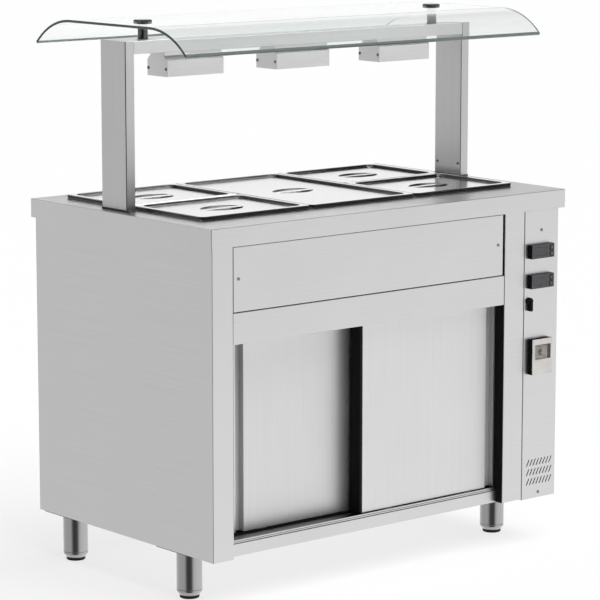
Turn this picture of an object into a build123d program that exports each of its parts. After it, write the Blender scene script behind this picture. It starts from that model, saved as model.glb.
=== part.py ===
from build123d import *
from math import sqrt
import os

# Bain-marie counter with a hot cupboard, a gantry of heat lamps and a curved glass guard.
# Millimetres. X runs to the right, Y to the back and Z up.
# The origin is on the floor, under the middle of the whole object's box.

# Sheet metal and clearances
sheet = 1.5
seat_gap = 0.3
running_gap = 0.05
panel_gap = 1.0

# Worktop
worktop_length = 1110.0
worktop_depth = 700.0
worktop_height = 875.0
worktop_edge = 45.0
worktop_corner = 2.0
worktop_centre_x = -5.0
worktop_centre_y = 6.5

# Cabinet body
left_overhang = 3.0
right_overhang = 23.0
front_overhang = 2.0
back_overhang = 16.0
body_bottom = 112.0
stile_width = 60.0
right_stile_width = 66.0
controls_width = 180.0
panel_fold = 20.0
front_fold = 40.0
jamb_depth = 31.0
jamb_trim_thickness = 1.2
upper_rail_height = 73.0
bottom_rail_height = 30.0
bottom_rail_recess = 20.0
fascia_slot = 6.5
control_overhang = 2.0
control_drop = 3.0
control_fold = 15.0

# Sliding doors and their tracks
door_width = 430.0
door_height = 468.0
door_depth = 36.0
door_front_gap = 30.0
door_track_gap = 8.0
door_end_gap = 0.8
door_glide = 5.0
door_glide_length = 20.0
door_hidden_top = 11.0
pull_width = 24.0
pull_depth = 14.0
pull_lip = 4.0
trim_width = 8.0
track_floor = 3.0
track_rib = 4.0
track_rib_height = 4.0
left_door_reveal = 59.0

# Well, gastronorm pans and lids
pan_length = 530.0
pan_width = 325.0
half_pan_length = 264.0
pan_pitch = 327.0
pan_depth = 150.0
pan_sheet = 1.0
pan_rim = 4.0
pan_flange = 11.0
pan_corner = 22.0
rim_corner = 12.0
well_shift_back = 33.0
well_depth = 200.0
well_ledge = 10.0
well_flange = 14.0
bar_width = 10.0
bar_height = 12.0
lid_skirt = 5.5
lid_border = 14.0
lid_recess = 6.0
dish_length = 112.0
dish_width = 78.0
dish_depth = 17.0
dish_taper = 12.0
handle_width = 16.0
handle_thickness = 3.0

# Heating element
element_diameter = 8.5
element_height = 20.0
element_margin = 70.0
element_bend = 40.0

# Legs and feet
leg_diameter = 60.0
leg_wall = 1.5
leg_plate_thickness = 4.0
leg_plate_width = 64.0
leg_plate_length = 120.0
leg_plate_shift = 24.0
leg_left_inset = 38.0
leg_right_inset = 81.0
leg_front_inset = 138.0
leg_back_inset = 94.0
foot_height = 22.0
foot_tread = 8.0
foot_cone_top = 15.0
foot_tread_diameter = 46.0
foot_plug = 38.0

# Gantry
gantry_shift_right = 12.5
gantry_shift_back = 47.0
gantry_inset = 29.0
gantry_height = 394.0
post_width = 25.0
post_depth = 96.0
post_wall = 2.0
post_groove = 2.0
beam_height = 30.0
lamp_length = 168.0
lamp_pitch = 329.0
lamp_depth = 77.0
lamp_neck = 54.0
lamp_side_height = 38.0
lamp_slope_height = 11.0
lamp_height = 59.0
tube_diameter = 12.0
tube_drop = 34.0

# Glass guard
glass_overhang = 12.0
glass_thickness = 6.0
glass_flat = 310.0
glass_radius = 190.0
glass_reach = 137.0
spacer_height = 34.0
spacer_diameter = 26.0
spacer_inset = 98.5
stud_diameter = 8.0
stud_clearance = 0.5
cap_diameter = 44.0
cap_height = 5.0

# Controls
thermostat_width = 77.0
thermostat_height = 34.5
thermostat_depth = 13.0
thermostat_inset = 13.0
thermostat_drop = 100.5
thermostat_pitch = 74.0
display_width = 44.0
display_height = 20.0
display_inset = 6.0
display_depth = 1.0
key_size = 11.0
key_spread = 15.0
key_inset = 10.0
key_length = 5.0
key_proud = 1.2
key_travel = 1.0
key_clearance = 0.3
knob_inset = 17.0
knob_drop = 223.0
knob_diameter = 18.0
knob_depth = 7.0
knob_grip_width = 8.0
knob_grip_length = 24.0
knob_grip_depth = 4.0
knob_shaft = 8.0
knob_shaft_length = 10.0
breaker_box_inset = 17.0
breaker_box_width = 68.0
breaker_box_drop = 406.0
breaker_box_height = 88.0
breaker_box_depth = 13.0
breaker_box_wall = 3.0
breaker_width = 52.0
breaker_height = 37.0
breaker_depth = 6.0
breaker_rise = 52.5
toggle_width = 8.0
toggle_hub = 3.0
toggle_reach = 8.0
toggle_thickness = 3.0
toggle_slot = 18.0
toggle_clearance = 0.4
toggle_rest = 30.0
window_thickness = 1.5
window_gap = 0.5
louvre_rows = 3
louvre_columns = 8
louvre_row_pitch = 24.0
louvre_column_pitch = 11.0
louvre_length = 19.0
louvre_width = 3.0
louvre_slant = 28.0
louvre_inset = 59.0
louvre_rise = 67.0
gland_diameter = 24.0
gland_stem = 18.0
gland_nut = 5.0
gland_length = 15.0
gland_inset = 52.0
gland_rise = 68.0

# Screws
screw_head = 8.0
screw_head_height = 1.8
fascia_screw_inset = 16.0
fascia_screw_drop = 74.0
control_screw_drop = 50.0
control_screw_rise = 13.0
post_screw_height = 33.0
post_screw_spread = 76.0
lamp_screw_spread = 68.0
lamp_screw_height = 18.0

# Drain
drain_inset = 102.0
drain_leg_gap = 120.0
drain_pipe_diameter = 27.0
valve_diameter = 42.0
valve_height = 40.0
valve_top = 100.0
lever_length = 66.0
lever_width = 12.0
lever_thickness = 3.0
lever_stem = 10.0
lever_stem_length = 10.0

# Places worked out from the driving dimensions
worktop_underside = worktop_height - sheet
skirt_bottom = worktop_height - worktop_edge
body_left = worktop_centre_x - worktop_length / 2 + left_overhang
body_right = worktop_centre_x + worktop_length / 2 - right_overhang
body_front = worktop_centre_y - worktop_depth / 2 + front_overhang
body_back = worktop_centre_y + worktop_depth / 2 - back_overhang
body_depth = body_back - body_front
body_height = worktop_underside - body_bottom
opening_left = body_left + stile_width
opening_right = body_right - controls_width
rail_front = body_front + bottom_rail_recess
rail_top = body_bottom + bottom_rail_height
door_bottom = rail_top + track_floor + door_glide
door_top = door_bottom + door_height
opening_top = door_top - door_hidden_top
fascia_bottom = opening_top + upper_rail_height + panel_gap
fascia_right = opening_right - fascia_slot
control_left = opening_right + right_stile_width + panel_gap
control_right = body_right + control_overhang
control_top = skirt_bottom - panel_gap / 2
control_bottom = body_bottom - control_drop
right_door_front = body_front + door_front_gap
left_door_front = right_door_front + door_depth + door_track_gap
track_back = left_door_front + door_depth + door_track_gap
left_door_rest = opening_left + left_door_reveal
right_door_end = opening_right - jamb_trim_thickness - door_end_gap
right_door_rest = right_door_end - door_width
liner_left = left_door_rest - 2 * door_end_gap
track_roof = door_top + track_rib_height
well_centre_x = worktop_centre_x
well_centre_y = worktop_centre_y + well_shift_back
well_length = 2 * pan_pitch + pan_width - 2 * well_ledge
well_width = pan_length - 2 * well_ledge
well_bottom = worktop_height - well_depth
gantry_centre_x = worktop_centre_x + gantry_shift_right
gantry_centre_y = worktop_centre_y + gantry_shift_back
gantry_width = worktop_length - gantry_inset
gantry_top = worktop_height + gantry_height
gantry_left = gantry_centre_x - gantry_width / 2
gantry_right = gantry_centre_x + gantry_width / 2
beam_bottom = gantry_top - beam_height
glass_length = gantry_width + 2 * glass_overhang
glass_underside = gantry_top + spacer_height
glass_top = glass_underside + glass_thickness
leg_top = body_bottom - leg_plate_thickness
leg_left_x = body_left + leg_left_inset
leg_right_x = body_right - leg_right_inset
leg_front_y = body_front + leg_front_inset
leg_back_y = body_back - leg_back_inset
drain_x = body_right - drain_inset
drain_y = leg_back_y - drain_leg_gap
knob_x = control_left + knob_inset
knob_z = skirt_bottom - knob_drop
leg_places = {
    "front_left": (leg_left_x, leg_front_y),
    "back_left": (leg_left_x, leg_back_y),
    "front_right": (leg_right_x, leg_front_y),
    "back_right": (leg_right_x, leg_back_y),
}
half_pan_y = (pan_length - half_pan_length) / 2
pan_places = {
    "front_left": (well_centre_x - pan_pitch, well_centre_y - half_pan_y, half_pan_length),
    "back_left": (well_centre_x - pan_pitch, well_centre_y + half_pan_y, half_pan_length),
    "middle": (well_centre_x, well_centre_y, pan_length),
    "front_right": (well_centre_x + pan_pitch, well_centre_y - half_pan_y, half_pan_length),
    "back_right": (well_centre_x + pan_pitch, well_centre_y + half_pan_y, half_pan_length),
}

os.makedirs("parts", exist_ok=True)


def save(part, name):
    """Label a finished piece and write it as a STEP file."""
    part.label = name
    export_step(part, f"parts/{name}.step")


def block(x0, x1, y0, y1, z0, z1, mode=Mode.ADD):
    """A box between two corners, inside the open part."""
    with Locations((x0, y0, z0)):
        Box(x1 - x0, y1 - y0, z1 - z0, align=(Align.MIN, Align.MIN, Align.MIN), mode=mode)


def plate(width, length, corner, centre, bottom, height, mode=Mode.ADD):
    """A rounded rectangle in plan, extruded up from a level, inside the open part."""
    with BuildSketch(Plane.XY.offset(bottom)) as outline:
        with Locations(centre):
            RectangleRounded(width, length, corner)
    extrude(outline.sketch, amount=height, mode=mode)


def knob_plane(x, y, z):
    """A plane that faces the front, for what stands on the front panels."""
    return Plane(origin=(x, y, z), x_dir=(1, 0, 0), z_dir=(0, -1, 0))


# Worktop: one pressed sheet with a deep folded edge and the cut-out for the well
with BuildPart() as worktop:
    worktop_plane = Plane(origin=(worktop_centre_x, worktop_centre_y, skirt_bottom))
    with BuildSketch(worktop_plane):
        Rectangle(worktop_length, worktop_depth)
    extrude(amount=worktop_edge)
    fillet(worktop.edges().filter_by(Axis.Z), worktop_corner)
    fillet(worktop.faces().sort_by(Axis.Z)[-1].edges(), worktop_corner / 2)
    with BuildSketch(worktop_plane):
        Rectangle(worktop_length - 2 * sheet, worktop_depth - 2 * sheet)
    extrude(amount=worktop_edge - sheet, mode=Mode.SUBTRACT)
    plate(well_length, well_width, pan_corner, (well_centre_x, well_centre_y),
          worktop_underside, sheet, Mode.SUBTRACT)
save(worktop.part, "worktop")

# Left side panel: the side, the front stile and its deep return, folded from one sheet
with BuildPart() as left_side_panel:
    with BuildSketch(Plane.XY.offset(body_bottom)):
        with Locations((body_left, body_front)):
            Rectangle(sheet, body_depth - sheet, align=Align.MIN)
            Rectangle(stile_width, sheet, align=Align.MIN)
        with Locations((opening_left - sheet, body_front)):
            Rectangle(sheet, left_door_front - body_front + sheet, align=Align.MIN)
    extrude(amount=body_height)
save(left_side_panel.part, "left_side_panel")

# Right side panel
with BuildPart() as right_side_panel:
    with BuildSketch(Plane.XY.offset(body_bottom)):
        with Locations((body_right - sheet, body_front + 2 * sheet)):
            Rectangle(sheet, body_depth - 3 * sheet, align=Align.MIN)
        with Locations((body_right - front_fold, body_front + 2 * sheet)):
            Rectangle(front_fold, sheet, align=Align.MIN)
    extrude(amount=body_height)
save(right_side_panel.part, "right_side_panel")

# Back panel
with BuildPart() as back_panel:
    block(body_left, body_right, body_back - sheet, body_back, body_bottom, worktop_underside)
save(back_panel.part, "back_panel")

# Base panel, notched round the folded returns, with the hole for the drain pipe
with BuildPart() as base_panel:
    block(body_left + sheet, body_right - sheet, rail_front + sheet, body_back - sheet,
          body_bottom, body_bottom + sheet)
    block(opening_left - sheet, opening_left, body_front, left_door_front + sheet,
          body_bottom, body_bottom + sheet, Mode.SUBTRACT)
    block(opening_right - jamb_trim_thickness, opening_right + sheet,
          body_front, body_front + jamb_depth, body_bottom, body_bottom + sheet, Mode.SUBTRACT)
    with Locations((drain_x, drain_y, body_bottom)):
        Cylinder(drain_pipe_diameter / 2 + seat_gap, 4 * sheet, mode=Mode.SUBTRACT)
save(base_panel.part, "base_panel")

# Bottom rail: an angle that carries the lower door track
with BuildPart() as bottom_rail:
    rail_right = opening_right - jamb_trim_thickness
    block(opening_left, rail_right, rail_front, rail_front + sheet, body_bottom, rail_top)
    block(opening_left, rail_right, rail_front, track_back, rail_top - sheet, rail_top)
    block(opening_left, rail_right, track_back - sheet, track_back, body_bottom + sheet, rail_top)
save(bottom_rail.part, "bottom_rail")

# Upper rail: a channel across the front, above the doors
with BuildPart() as upper_rail:
    rail_end = opening_right - sheet
    rail_return = right_door_front - 2 * sheet
    upper_rail_top = opening_top + upper_rail_height
    block(opening_left, rail_end, body_front, body_front + sheet, opening_top, upper_rail_top)
    block(opening_left, rail_end, body_front, rail_return, opening_top, opening_top + sheet)
    block(opening_left, rail_end, body_front, rail_return, upper_rail_top - sheet, upper_rail_top)
save(upper_rail.part, "upper_rail")

# Fascia panel: the removable cover in front of the well
with BuildPart() as fascia_panel:
    fascia_return = body_front + panel_fold
    fascia_top = skirt_bottom - panel_gap / 2
    fascia_left = opening_left + panel_gap / 2
    block(fascia_left, fascia_right, body_front, body_front + sheet, fascia_bottom, fascia_top)
    block(fascia_left, fascia_right, body_front, fascia_return, fascia_bottom, fascia_bottom + sheet)
    block(fascia_left, fascia_right, body_front, fascia_return, fascia_top - sheet, fascia_top)
    block(fascia_right - sheet, fascia_right, body_front, fascia_return, fascia_bottom, fascia_top)
    block(fascia_left, fascia_left + sheet, body_front, fascia_return, fascia_bottom, fascia_top)
save(fascia_panel.part, "fascia_panel")

# Right stile: the front of the controls' compartment beside the door opening
with BuildPart() as right_stile:
    stile_right = opening_right + right_stile_width
    with BuildSketch(Plane.XY.offset(body_bottom)):
        with Locations((opening_right, body_front)):
            Rectangle(right_stile_width, sheet, align=Align.MIN)
            Rectangle(sheet, jamb_depth, align=Align.MIN)
        with Locations((stile_right - sheet, body_front)):
            Rectangle(sheet, panel_fold, align=Align.MIN)
    extrude(amount=body_height)
save(right_stile.part, "right_stile")

# Partition between the cupboard and the controls' compartment
with BuildPart() as partition_panel:
    block(opening_right + sheet, opening_right + 2 * sheet, body_front + sheet, body_back - sheet,
          body_bottom + sheet, well_bottom - 2 * sheet)
save(partition_panel.part, "partition_panel")

# Jamb trim: the dark strip that the right door closes against
with BuildPart() as jamb_trim:
    block(opening_right - jamb_trim_thickness, opening_right, body_front + sheet / 2,
          body_front + jamb_depth, body_bottom, opening_top)
save(jamb_trim.part, "jamb_trim")

# Cupboard liner: left wall with its front flange, and the ceiling over the doors
with BuildPart() as cupboard_liner:
    liner_bottom = body_bottom + sheet
    liner_right = opening_right - jamb_trim_thickness
    ceiling = track_roof + track_floor
    track_top = rail_top + track_floor
    block(opening_left, liner_left, left_door_front, left_door_front + sheet, track_top, track_roof)
    block(liner_left - sheet, liner_left, left_door_front, body_back - sheet, track_top, track_roof)
    block(liner_left - sheet, liner_left, track_back, body_back - sheet, liner_bottom, ceiling)
    block(opening_left, liner_right, right_door_front - sheet, body_back - sheet,
          ceiling, ceiling + sheet)
save(cupboard_liner.part, "cupboard_liner")

# Door tracks: a grooved floor under the doors, and the same above them
with BuildPart() as door_tracks:
    track_right = opening_right - jamb_trim_thickness
    track_front = right_door_front - door_track_gap
    rib_places = [(track_front, opening_left), (left_door_front - door_track_gap, opening_left),
                  (left_door_front + door_depth, liner_left)]
    for plate_bottom, rib_bottom, rib_top in (
            (rail_top, rail_top + track_floor, rail_top + track_floor + track_rib_height),
            (track_roof, door_top - track_rib_height, track_roof)):
        block(opening_left, track_right, track_front, track_back, plate_bottom, plate_bottom + track_floor)
        for gap_front, rib_left in rib_places:
            rib_front = gap_front + (door_track_gap - track_rib) / 2
            block(rib_left, track_right, rib_front, rib_front + track_rib, rib_bottom, rib_top)
save(door_tracks.part, "door_tracks")


def build_door(name, left, front, pull_on_left):
    """A sliding door: a tray with a full-height finger channel at its outer edge, on two glides."""
    right = left + door_width
    back = front + door_depth
    channel = (left + pull_lip, left + pull_lip + pull_width)
    if not pull_on_left:
        channel = (right - pull_lip - pull_width, right - pull_lip)
    with BuildPart() as door:
        block(left, right, front, back, door_bottom, door_top)
        block(left + sheet, right - sheet, front + sheet, back, door_bottom + sheet, door_top - sheet,
              Mode.SUBTRACT)
        block(channel[0] - sheet, channel[1] + sheet, front, front + pull_depth + sheet,
              door_bottom, door_top)
        block(channel[0], channel[1], front, front + pull_depth, door_bottom, door_top, Mode.SUBTRACT)
        for glide_x in (left + door_width / 5, right - door_width / 5):
            with Locations((glide_x, (front + back) / 2, door_bottom - door_glide + seat_gap)):
                Box(door_glide_length, door_depth - 2 * sheet, door_glide + sheet - seat_gap,
                    align=(Align.CENTER, Align.CENTER, Align.MIN))
    save(door.part, name)
    trim_left = right if pull_on_left else left - trim_width
    with BuildPart() as trim:
        block(trim_left, trim_left + trim_width, front, back, door_bottom, door_top)
    save(trim.part, f"{name}_trim")


build_door("left_door", left_door_rest, left_door_front, True)
build_door("right_door", right_door_rest, right_door_front, False)

# Well: the water tank that hangs under the worktop, welded from flat sheets with a flange around it
tank_left = well_centre_x - well_length / 2
tank_right = well_centre_x + well_length / 2
tank_front = well_centre_y - well_width / 2
tank_back = well_centre_y + well_width / 2
flange_low = worktop_underside - sheet
tank_sheets = [(tank_left, tank_right, tank_front, tank_back, well_bottom, well_bottom + sheet)]
for inside, outward in ((tank_left, -1), (tank_right, 1)):
    wall = sorted((inside, inside + outward * sheet))
    strip = sorted((inside + outward * sheet, inside + outward * well_flange))
    tank_sheets.append((*wall, tank_front, tank_back, well_bottom, worktop_underside))
    tank_sheets.append((*strip, tank_front, tank_back, flange_low, worktop_underside))
for inside, outward in ((tank_front, -1), (tank_back, 1)):
    wall = sorted((inside, inside + outward * sheet))
    strip = sorted((inside + outward * sheet, inside + outward * well_flange))
    tank_sheets.append((tank_left - sheet, tank_right + sheet, *wall, well_bottom, worktop_underside))
    tank_sheets.append((tank_left - well_flange, tank_right + well_flange, *strip, flange_low,
                        worktop_underside))
welded = []
for corners in tank_sheets:
    with BuildPart() as tank_sheet:
        block(*corners)
    welded.append(tank_sheet.part)
save(Compound(children=welded), "well_tank")

# Cross bars: they fill the seams between the pans, level with the worktop
with BuildPart() as cross_bars:
    bar_bottom = worktop_height - bar_height
    for side in (-1, 1):
        seam = well_centre_x + side * pan_pitch / 2
        block(seam - bar_width / 2, seam + bar_width / 2, well_centre_y - well_width / 2,
              well_centre_y + well_width / 2, bar_bottom, worktop_height)
        inner = seam + side * bar_width / 2
        outer = well_centre_x + side * well_length / 2
        block(min(inner, outer), max(inner, outer), well_centre_y - bar_width / 2,
              well_centre_y + bar_width / 2, bar_bottom, worktop_height)
save(cross_bars.part, "cross_bars")

# Heating element: one bent tube above the floor of the well, on its two terminals
with BuildPart() as heating_element:
    element_z = well_bottom + sheet + element_height
    right_x = well_centre_x + well_length / 2 - element_margin
    left_x = well_centre_x - well_length / 2 + element_margin
    reach_y = well_width / 2 - element_margin
    terminal_y = 2 * element_bend
    front_y = well_centre_y - reach_y
    back_y = well_centre_y + reach_y
    with BuildLine() as element_path:
        FilletPolyline(
            (right_x, well_centre_y - terminal_y, well_bottom + sheet),
            (right_x, well_centre_y - terminal_y, element_z),
            (right_x - element_bend, well_centre_y - terminal_y, element_z),
            (right_x - element_bend, front_y, element_z),
            (left_x, front_y, element_z),
            (left_x, back_y, element_z),
            (right_x - element_bend, back_y, element_z),
            (right_x - element_bend, well_centre_y + terminal_y, element_z),
            (right_x, well_centre_y + terminal_y, element_z),
            (right_x, well_centre_y + terminal_y, well_bottom + sheet),
            radius=element_height / 2,
        )
    with BuildSketch(Plane(origin=element_path.line @ 0, z_dir=element_path.line % 0)):
        Circle(element_diameter / 2)
    sweep()
save(heating_element.part, "heating_element")


def build_pan(name, x, y, length):
    """A gastronorm pan that hangs by its flange, with a raised rim around it."""
    tub_width = pan_width - 2 * pan_flange
    tub_length = length - 2 * pan_flange
    with BuildPart() as pan:
        plate(tub_width, tub_length, pan_corner, (x, y),
              worktop_height - pan_depth, pan_depth + pan_sheet)
        plate(pan_width, length, rim_corner, (x, y), worktop_height, pan_rim)
        plate(pan_width - 2 * pan_rim, length - 2 * pan_rim, rim_corner - pan_rim / 2, (x, y),
              worktop_height + pan_sheet, pan_rim, Mode.SUBTRACT)
        plate(tub_width - 2 * pan_sheet, tub_length - 2 * pan_sheet, pan_corner - pan_sheet, (x, y),
              worktop_height - pan_depth + pan_sheet, pan_depth + pan_rim, Mode.SUBTRACT)
    save(pan.part, name)


def build_lid(name, x, y, length):
    """A pan lid: skirt, flat border, sunken panel, and a handle bar across a dished grip."""
    skirt_low = worktop_height + pan_rim + seat_gap
    lid_top = skirt_low + lid_skirt
    panel_top = lid_top - lid_recess
    with BuildPart() as lid:
        plate(pan_width, length, rim_corner, (x, y), skirt_low, lid_skirt)
        plate(pan_width - 2 * pan_sheet, length - 2 * pan_sheet, rim_corner - pan_sheet, (x, y),
              skirt_low, lid_skirt - pan_sheet, Mode.SUBTRACT)
        plate(pan_width - 2 * lid_border, length - 2 * lid_border, pan_corner, (x, y),
              panel_top - pan_sheet, lid_recess + pan_sheet)
        plate(pan_width - 2 * lid_border - 2 * pan_sheet, length - 2 * lid_border - 2 * pan_sheet,
              pan_corner - pan_sheet, (x, y), panel_top, lid_recess, Mode.SUBTRACT)
        for wall, mode in ((pan_sheet, Mode.ADD), (0, Mode.SUBTRACT)):
            with BuildSketch(Plane.XY.offset(panel_top)):
                with Locations((x, y)):
                    Ellipse(dish_length / 2 + wall, dish_width / 2 + wall)
            with BuildSketch(Plane.XY.offset(panel_top - dish_depth - wall)):
                with Locations((x, y)):
                    Ellipse(dish_length / 2 - dish_taper + wall, dish_width / 2 - dish_taper + wall)
            loft(mode=mode)
        with Locations((x, y, panel_top - handle_thickness)):
            Box(dish_length + 2 * pan_sheet, handle_width, handle_thickness,
                align=(Align.CENTER, Align.CENTER, Align.MIN))
    save(lid.part, name)


for place, (pan_x, pan_y, length) in pan_places.items():
    build_pan(f"{place}_pan", pan_x, pan_y, length)
    build_lid(f"{place}_lid", pan_x, pan_y, length)

# Legs: four tubes, each on its fixing plate
with BuildPart() as legs:
    for leg_x, leg_y in leg_places.values():
        with Locations((leg_x, leg_y, foot_height)):
            Cylinder(leg_diameter / 2, leg_top - foot_height,
                     align=(Align.CENTER, Align.CENTER, Align.MIN))
            Cylinder(leg_diameter / 2 - leg_wall, leg_top - foot_height,
                     align=(Align.CENTER, Align.CENTER, Align.MIN), mode=Mode.SUBTRACT)
        with Locations((leg_x, leg_y + leg_plate_shift, leg_top)):
            Box(leg_plate_width, leg_plate_length, leg_plate_thickness,
                align=(Align.CENTER, Align.CENTER, Align.MIN))
save(legs.part, "legs")

# Feet: each one slides in its leg as its thread is turned, and stands on a rubber tread
for place, (leg_x, leg_y) in leg_places.items():
    with BuildPart() as foot:
        leg_bore = leg_diameter / 2 - leg_wall
        with Locations((leg_x, leg_y, 0)):
            Cylinder(foot_tread_diameter / 2, foot_tread, align=(Align.CENTER, Align.CENTER, Align.MIN))
        with BuildSketch(Plane.XY.offset(foot_tread)):
            with Locations((leg_x, leg_y)):
                Circle(foot_tread_diameter / 2)
        with BuildSketch(Plane.XY.offset(foot_cone_top)):
            with Locations((leg_x, leg_y)):
                Circle(leg_diameter / 2)
        loft()
        with Locations((leg_x, leg_y, foot_cone_top)):
            Cylinder(leg_diameter / 2, foot_height - foot_cone_top - seat_gap,
                     align=(Align.CENTER, Align.CENTER, Align.MIN))
            Cylinder(leg_bore - running_gap, foot_plug, align=(Align.CENTER, Align.CENTER, Align.MIN))
    save(foot.part, f"{place}_foot")


def build_post(name, left):
    """An upright of the gantry: a flat tube with a shadow groove near its front corner."""
    front = gantry_centre_y - post_depth / 2
    with BuildPart() as post:
        block(left, left + post_width, front, front + post_depth, worktop_height, gantry_top)
        block(left + post_wall, left + post_width - post_wall, front + 2 * post_wall,
              front + post_depth - post_wall, worktop_height, gantry_top - post_wall, Mode.SUBTRACT)
        block(left, left + post_groove / 2, front, front + post_groove,
              worktop_height, gantry_top, Mode.SUBTRACT)
    save(post.part, name)


build_post("left_post", gantry_left)
build_post("right_post", gantry_right - post_width)

# Top beam between the posts
with BuildPart() as top_beam:
    beam_left = gantry_left + post_width
    beam_right = gantry_right - post_width
    beam_front = gantry_centre_y - post_depth / 2
    block(beam_left, beam_right, beam_front, beam_front + post_depth, beam_bottom, gantry_top)
    block(beam_left, beam_right, beam_front + post_wall, beam_front + post_depth - post_wall,
          beam_bottom + post_wall, gantry_top - post_wall, Mode.SUBTRACT)
save(top_beam.part, "top_beam")

lamp_bottom = beam_bottom - lamp_height
lamp_centres = [gantry_centre_x + step * lamp_pitch for step in (-1, 0, 1)]


def lamp_outline(wall):
    """Half the lamp hood's cross-section, as points from the mouth up to its neck."""
    half = lamp_depth / 2 - wall
    neck = lamp_neck / 2 - wall
    shoulder = lamp_bottom + lamp_side_height
    return [(half, lamp_bottom), (half, shoulder - wall / 2),
            (neck, shoulder + lamp_slope_height - wall / 2), (neck, beam_bottom - wall)]


def lamp_section(centre_x, wall, length):
    """The lamp hood's cross-section extruded along X, in the open part."""
    right_side = lamp_outline(wall)
    left_side = [(-along, up) for along, up in reversed(right_side)]
    mode = Mode.ADD if wall == 0 else Mode.SUBTRACT
    end_plane = Plane(origin=(centre_x - length / 2, gantry_centre_y, 0),
                      x_dir=(0, 1, 0), z_dir=(1, 0, 0))
    with BuildSketch(end_plane) as section:
        with BuildLine():
            Polyline(*right_side, *left_side, close=True)
        make_face()
    extrude(section.sketch, amount=length, mode=mode)


for lamp_name, lamp_x in zip(("left", "middle", "right"), lamp_centres):
    with BuildPart() as lamp_hood:
        lamp_section(lamp_x, 0, lamp_length)
        lamp_section(lamp_x, sheet, lamp_length - 2 * sheet)
    save(lamp_hood.part, f"{lamp_name}_lamp_hood")

# Lamp tubes: one halogen tube across each hood, held at its ends
with BuildPart() as lamp_tubes:
    tube_length = lamp_length - 2 * sheet
    for lamp_x in lamp_centres:
        tube_centre = (lamp_x, gantry_centre_y, beam_bottom - tube_drop)
        with Locations(Plane(origin=tube_centre, z_dir=(1, 0, 0))):
            Cylinder(tube_diameter / 2, tube_length)
save(lamp_tubes.part, "lamp_tubes")

# Glass clamps: spacers with a stud under the glass, and a cap on each stud
spacer_reach = glass_length / 2 - spacer_inset
spacer_places = [(gantry_centre_x + side * spacer_reach, gantry_centre_y) for side in (-1, 1)]
with BuildPart() as glass_clamps:
    for spacer_x, spacer_y in spacer_places:
        with Locations((spacer_x, spacer_y, gantry_top)):
            Cylinder(spacer_diameter / 2, spacer_height, align=(Align.CENTER, Align.CENTER, Align.MIN))
            Cylinder(stud_diameter / 2, spacer_height + glass_thickness,
                     align=(Align.CENTER, Align.CENTER, Align.MIN))
        with Locations((spacer_x, spacer_y, glass_top)):
            Cylinder(cap_diameter / 2, cap_height, align=(Align.CENTER, Align.CENTER, Align.MIN))
save(glass_clamps.part, "glass_clamps")

# Glass guard: flat in the middle, and curved down along its front and back edges
with BuildPart() as glass_guard:
    arc_centre_z = glass_top - glass_radius
    inner_radius = glass_radius - glass_thickness
    inner_reach = glass_reach * inner_radius / glass_radius
    mid_reach = glass_reach / 2
    half_flat = glass_flat / 2

    def arc_point(reach, radius):
        """A point on the bend, a reach beyond the flat part."""
        return (half_flat + reach, arc_centre_z + sqrt(radius ** 2 - reach ** 2))

    with BuildSketch(Plane(origin=(gantry_centre_x - glass_length / 2, gantry_centre_y, 0),
                           x_dir=(0, 1, 0), z_dir=(1, 0, 0))):
        with BuildLine():
            outer_tip = arc_point(glass_reach, glass_radius)
            inner_tip = arc_point(inner_reach, inner_radius)
            outer_mid = arc_point(mid_reach, glass_radius)
            inner_mid = arc_point(mid_reach, inner_radius)
            Line((0, glass_top), (half_flat, glass_top))
            ThreePointArc((half_flat, glass_top), outer_mid, outer_tip)
            Line(outer_tip, inner_tip)
            ThreePointArc(inner_tip, inner_mid, (half_flat, glass_underside))
            Line((half_flat, glass_underside), (0, glass_underside))
            Line((0, glass_underside), (0, glass_top))
        make_face()
        mirror(about=Plane.YZ)
    extrude(amount=glass_length)
    for spacer_x, spacer_y in spacer_places:
        with Locations((spacer_x, spacer_y, glass_top)):
            Cylinder(stud_diameter / 2 + stud_clearance, 4 * glass_thickness, mode=Mode.SUBTRACT)
save(glass_guard.part, "glass_guard")

# Control panel: the narrow front cover with its vents and the hole for the switch shaft
with BuildPart() as control_panel:
    panel_return = body_front + control_fold
    block(control_left, control_right, body_front, body_front + sheet, control_bottom, control_top)
    block(control_left, control_left + sheet, body_front, panel_return, control_bottom, control_top)
    block(control_right - sheet, control_right, body_front, panel_return, control_bottom, control_top)
    with BuildSketch(knob_plane(control_left + louvre_inset, body_front, control_bottom + louvre_rise)):
        with GridLocations(louvre_column_pitch, louvre_row_pitch, louvre_columns, louvre_rows):
            SlotOverall(louvre_length, louvre_width, rotation=90 - louvre_slant)
    extrude(amount=-2 * sheet, mode=Mode.SUBTRACT)
    with BuildSketch(knob_plane(knob_x, body_front, knob_z)):
        Circle(knob_shaft / 2 + running_gap)
    extrude(amount=-2 * sheet, mode=Mode.SUBTRACT)
save(control_panel.part, "control_panel")


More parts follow.
